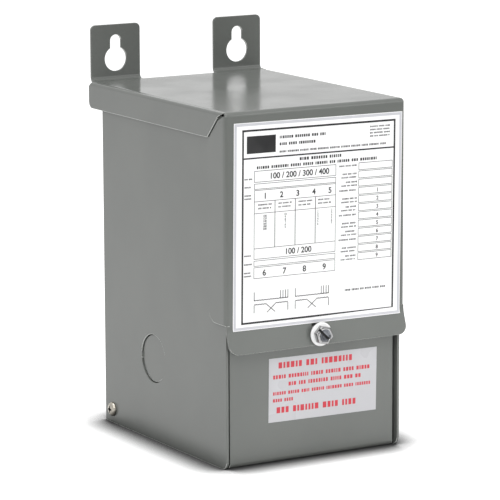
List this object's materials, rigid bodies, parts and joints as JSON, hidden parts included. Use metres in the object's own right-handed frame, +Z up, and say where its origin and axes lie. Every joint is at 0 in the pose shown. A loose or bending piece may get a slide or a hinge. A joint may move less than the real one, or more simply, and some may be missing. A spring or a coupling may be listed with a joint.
{
  "type": "general purpose transformer",
  "caption": "Small encapsulated dry-type transformer in a grey sheet-steel outdoor enclosure, hung on a wall by two keyholed ears, with a drop-down wiring door under its front cover.",
  "frame": {"origin": "middle of the overall box in X and Y, on the surface that the case stands on", "axes": "+Z up, +Y towards the wall that it hangs on, front towards -Y, +X to the right seen from the front"},
  "size_m": [0.1192, 0.1684, 0.2337],
  "materials": {
    "grey_enamel": "semi-gloss grey enamel with a fine orange peel",
    "zinc_screw": "bright zinc plate",
    "potting_compound": "cast resin and sand, matt"
  },
  "bodies": {
    "case": {"cover": "grey_enamel", "wall_wrap": "grey_enamel", "potted_core": "potting_compound", "wall_spacer": "grey_enamel", "bond_screw": "zinc_screw", "left_pivot_screw": "zinc_screw", "right_pivot_screw": "zinc_screw", "left_pivot_nut": "zinc_screw", "right_pivot_nut": "zinc_screw"},
    "door": {"door": "grey_enamel", "lock_screw": "zinc_screw", "lock_nut": "zinc_screw"}
  },
  "joints": [
    {"name": "door_hinge", "type": "hinge", "parent": "case", "child": "door", "pos_m": [0, 0.0614, 0.0082], "axis": [1, 0, 0], "range_deg": [0, 90]}
  ]
}
